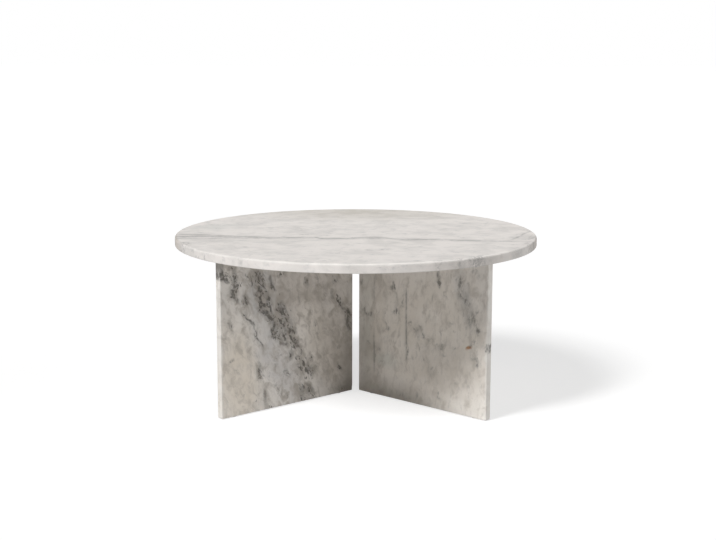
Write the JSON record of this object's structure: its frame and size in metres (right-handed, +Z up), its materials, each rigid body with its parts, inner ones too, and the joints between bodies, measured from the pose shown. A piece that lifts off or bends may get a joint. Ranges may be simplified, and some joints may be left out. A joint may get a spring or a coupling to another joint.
{
  "type": "round cocktail table",
  "caption": "Low round stone table: a round slab top with eased edges stands on upright slab legs set in an X, held to it by angle brackets hidden under the top.",
  "frame": {"origin": "on the floor, under the middle of the round top", "axes": "+Z up; -Y out of the front bay, the one that faces the viewer; +X to the viewer's right"},
  "size_m": [1.0159, 1.016, 0.455],
  "materials": {
    "top_stone": "honed",
    "panel_stone": "honed",
    "bracket_steel": "zinc plated",
    "screw_steel": "zinc plated",
    "insert_brass": "turned",
    "buffer_rubber": "matt",
    "glide_plastic": "matt"
  },
  "bodies": {
    "root": {"tabletop": "top_stone", "leg_panel_front_left": "panel_stone", "leg_panel_front_right": "panel_stone", "leg_panel_back_left": "panel_stone", "leg_panel_back_right": "panel_stone", "angle_bracket_front_left_inner": "bracket_steel", "angle_bracket_front_left_outer": "bracket_steel", "angle_bracket_front_right_inner": "bracket_steel", "angle_bracket_front_right_outer": "bracket_steel", "angle_bracket_back_left_inner": "bracket_steel", "angle_bracket_back_left_outer": "bracket_steel", "angle_bracket_back_right_inner": "bracket_steel", "angle_bracket_back_right_outer": "bracket_steel", "buffer_front_left_inner": "buffer_rubber", "buffer_front_left_outer": "buffer_rubber", "buffer_front_right_inner": "buffer_rubber", "buffer_front_right_outer": "buffer_rubber", "buffer_back_left_inner": "buffer_rubber", "buffer_back_left_outer": "buffer_rubber", "buffer_back_right_inner": "buffer_rubber", "buffer_back_right_outer": "buffer_rubber", "glide_front_left_inner": "glide_plastic", "glide_front_left_outer": "glide_plastic", "glide_front_right_inner": "glide_plastic", "glide_front_right_outer": "glide_plastic", "glide_back_left_inner": "glide_plastic", "glide_back_left_outer": "glide_plastic", "glide_back_right_inner": "glide_plastic", "glide_back_right_outer": "glide_plastic", "top_screws": "screw_steel", "panel_screws": "screw_steel", "top_inserts": "insert_brass", "panel_inserts": "insert_brass"}
  },
  "joints": []
}
